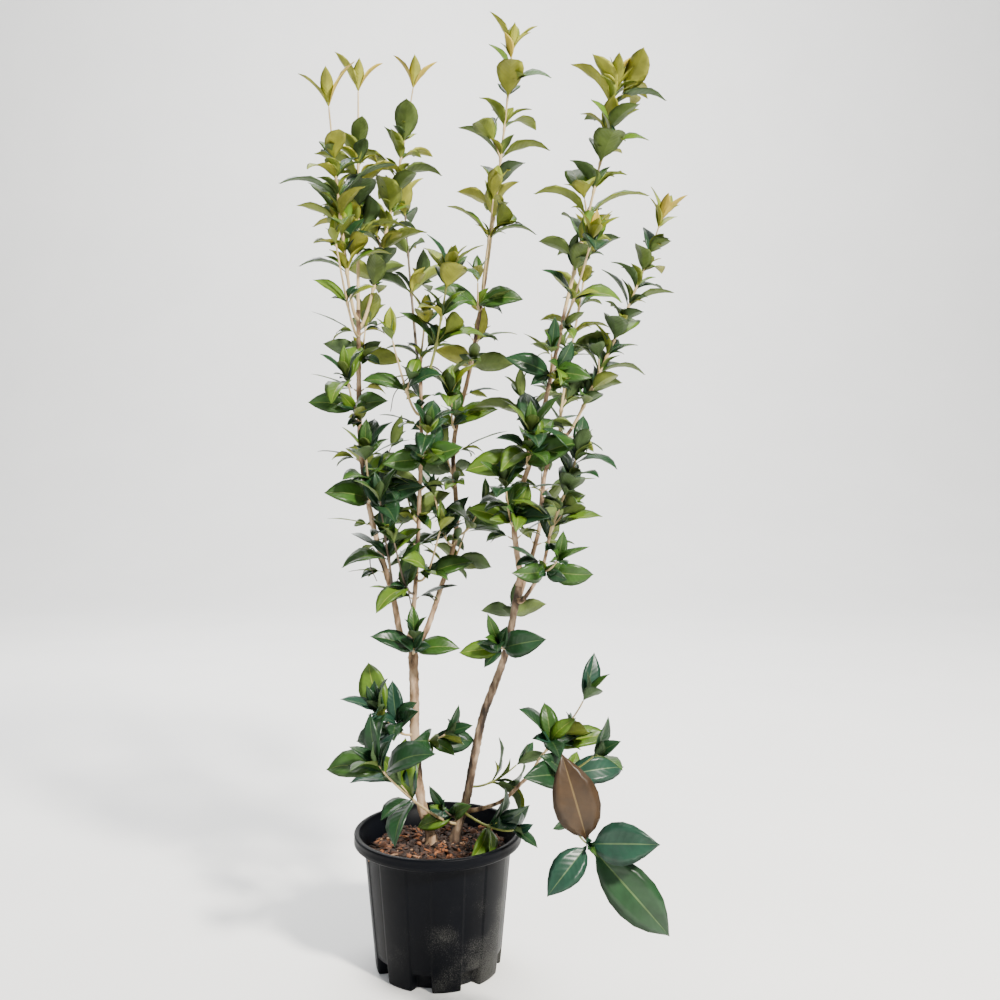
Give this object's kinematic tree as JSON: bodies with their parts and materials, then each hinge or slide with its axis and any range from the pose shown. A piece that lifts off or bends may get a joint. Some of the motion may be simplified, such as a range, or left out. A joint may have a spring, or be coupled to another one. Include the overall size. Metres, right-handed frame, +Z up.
{
  "type": "potted osmanthus",
  "caption": "Flowering evergreen shrub with slender forked stems rising from one round black nursery pot, its pointed leaves in pairs and tufts up every shoot.",
  "frame": {"origin": "centre of the pot's flat underside", "axes": "+Z up, +X to the right of the front view, -Y towards the viewer"},
  "size_m": [0.5716, 0.5321, 1.3965],
  "materials": {
    "pot": "black, slightly dusty, a little gloss on the rim",
    "potting_mix": "rough bark mix",
    "bark": "thin pale tan bark",
    "foliage": "glossy leaf above, matt and paler below"
  },
  "bodies": {
    "root": {"pot": "pot", "soil": "potting_mix", "trunk_left": "bark", "trunk_right": "bark", "bough_left": "bark", "bough_middle": "bark", "bough_right": "bark", "bough_front": "bark", "bough_rear": "bark", "bough_side": "bark", "bough_low": "bark", "leader_outer": "foliage", "leader_left": "foliage", "leader_inner": "foliage", "shoot_outer": "foliage", "spray_left_1": "foliage", "spray_left_2": "foliage", "spray_left_3": "foliage", "spray_left_4": "foliage", "spray_left_5": "foliage", "top_middle": "foliage", "leader_front": "foliage", "leader_back": "foliage", "spray_middle_1": "foliage", "spray_middle_2": "foliage", "spray_middle_3": "foliage", "spray_middle_4": "foliage", "spray_middle_5": "foliage", "leader_right": "foliage", "shoot_right": "foliage", "spray_right_1": "foliage", "spray_right_2": "foliage", "spray_right_3": "foliage", "spray_right_4": "foliage", "spray_right_5": "foliage", "spray_right_6": "foliage", "spray_right_7": "foliage", "leader_front_right": "foliage", "shoot_front_right": "foliage", "spray_front_1": "foliage", "spray_front_2": "foliage", "spray_front_3": "foliage", "spray_front_4": "foliage", "leader_rear": "foliage", "leader_far_right": "foliage", "spray_rear": "foliage", "leader_side": "foliage", "spray_side": "foliage", "spray_low_left": "foliage", "spray_trunk_left_1": "foliage", "spray_trunk_left_2": "foliage", "spray_fork": "foliage", "spray_foot": "foliage", "spray_rim": "foliage", "spray_foot_right": "foliage", "spray_trunk_right_1": "foliage", "spray_trunk_right_2": "foliage", "shoot_low_right": "foliage", "shoot_low_front": "foliage", "shoot_low_outer": "foliage"}
  },
  "joints": []
}
